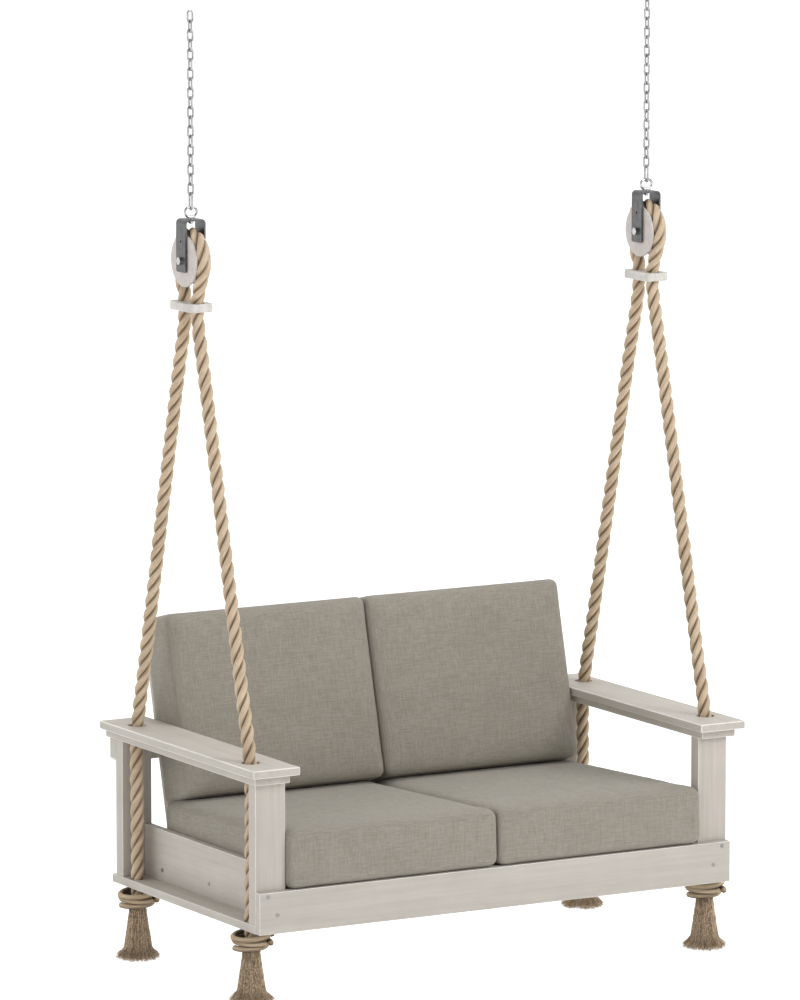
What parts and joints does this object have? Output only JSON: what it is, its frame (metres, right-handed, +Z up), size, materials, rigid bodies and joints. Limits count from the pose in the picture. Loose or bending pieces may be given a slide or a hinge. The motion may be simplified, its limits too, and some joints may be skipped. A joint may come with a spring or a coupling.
{
  "type": "porch swing",
  "caption": "Hanging garden bench with slatted seat and back, box cushions, wide arms, and a rope over a pulley and chain at each side.",
  "frame": {"origin": "midway between the two hook seats, which are the undersides of the top bends of the two top chain links", "axes": "+X to the right and +Y to the back as seen by someone standing before the swing, +Z up"},
  "size_m": [1.52, 0.9095, 2.5834],
  "materials": {
    "whitewashed_wood": "whitewashed, worn lighter at the edges",
    "cushion_fabric": "grey-taupe slub weave",
    "manila_rope": "three-strand manila",
    "frayed_rope": "combed-out fibres",
    "sheave_polymer": "moulded, off-white",
    "spreader_wood": "painted off-white",
    "bracket_steel": "dark brushed",
    "bright_steel": "zinc plated",
    "chain_steel": "galvanised",
    "screw_steel": "stainless",
    "bronze": "plain bronze"
  },
  "bodies": {
    "hooked_links": {"top_link_left": "chain_steel", "top_link_right": "chain_steel"},
    "left_chain": {"chain_left": "chain_steel", "long_link_left": "chain_steel"},
    "right_chain": {"chain_right": "chain_steel", "long_link_right": "chain_steel"},
    "left_sheave": {"sheave_left": "sheave_polymer"},
    "right_sheave": {"sheave_right": "sheave_polymer"},
    "bench": {"arm_left": "whitewashed_wood", "arm_right": "whitewashed_wood", "arm_support_left": "whitewashed_wood", "arm_support_right": "whitewashed_wood", "axle_bolt_left": "bright_steel", "axle_bolt_right": "bright_steel", "axle_nuts": "bright_steel", "axle_sleeves": "bronze", "back_cushion_left": "cushion_fabric", "back_cushion_right": "cushion_fabric", "back_post_left": "whitewashed_wood", "back_post_right": "whitewashed_wood", "back_screws": "screw_steel", "back_slats": "whitewashed_wood", "back_top_rail": "whitewashed_wood", "back_wedge": "whitewashed_wood", "bottom_plank_left": "whitewashed_wood", "bottom_plank_right": "whitewashed_wood", "bracket_left": "bracket_steel", "bracket_right": "bracket_steel", "eye_bolt_left": "bright_steel", "eye_bolt_right": "bright_steel", "eye_nuts": "bright_steel", "frame_screws": "screw_steel", "front_post_left": "whitewashed_wood", "front_post_right": "whitewashed_wood", "front_rail": "whitewashed_wood", "knot_back_left": "manila_rope", "knot_back_right": "manila_rope", "knot_front_left": "manila_rope", "knot_front_right": "manila_rope", "lower_rear_rail": "whitewashed_wood", "rope_left": "manila_rope", "rope_right": "manila_rope", "seat_bearer_centre": "whitewashed_wood", "seat_bearer_left": "whitewashed_wood", "seat_bearer_right": "whitewashed_wood", "seat_cushion_left": "cushion_fabric", "seat_cushion_right": "cushion_fabric", "seat_slats": "whitewashed_wood", "side_panel_left": "whitewashed_wood", "side_panel_right": "whitewashed_wood", "spreader_left": "spreader_wood", "spreader_right": "spreader_wood", "tassel_back_left": "frayed_rope", "tassel_back_right": "frayed_rope", "tassel_front_left": "frayed_rope", "tassel_front_right": "frayed_rope", "upper_rear_rail": "whitewashed_wood"}
  },
  "joints": [
    {"name": "left_chain_swing", "type": "hinge", "parent": "hooked_links", "child": "left_chain", "pos_m": [-0.7, 0, -0.02815], "axis": [1, 0, 0], "range_deg": [-25, 25]},
    {"name": "right_chain_swing", "type": "hinge", "parent": "hooked_links", "child": "right_chain", "pos_m": [0.7, 0, -0.02815], "axis": [1, 0, 0], "range_deg": [-25, 25]},
    {"name": "bench_pitch", "type": "hinge", "parent": "left_chain", "child": "bench", "pos_m": [-0.7, 0, -0.51235], "axis": [1, 0, 0], "range_deg": [-15, 15]},
    {"name": "left_sheave_spin", "type": "hinge", "parent": "bench", "child": "left_sheave", "pos_m": [-0.7, 0, -0.6521], "axis": [1, 0, 0], "continuous": true},
    {"name": "right_sheave_spin", "type": "hinge", "parent": "bench", "child": "right_sheave", "pos_m": [0.7, 0, -0.6521], "axis": [1, 0, 0], "continuous": true}
  ],
  "couplings": [
    {"joint": "right_chain_swing", "follows": "left_chain_swing", "ratio": 1}
  ]
}
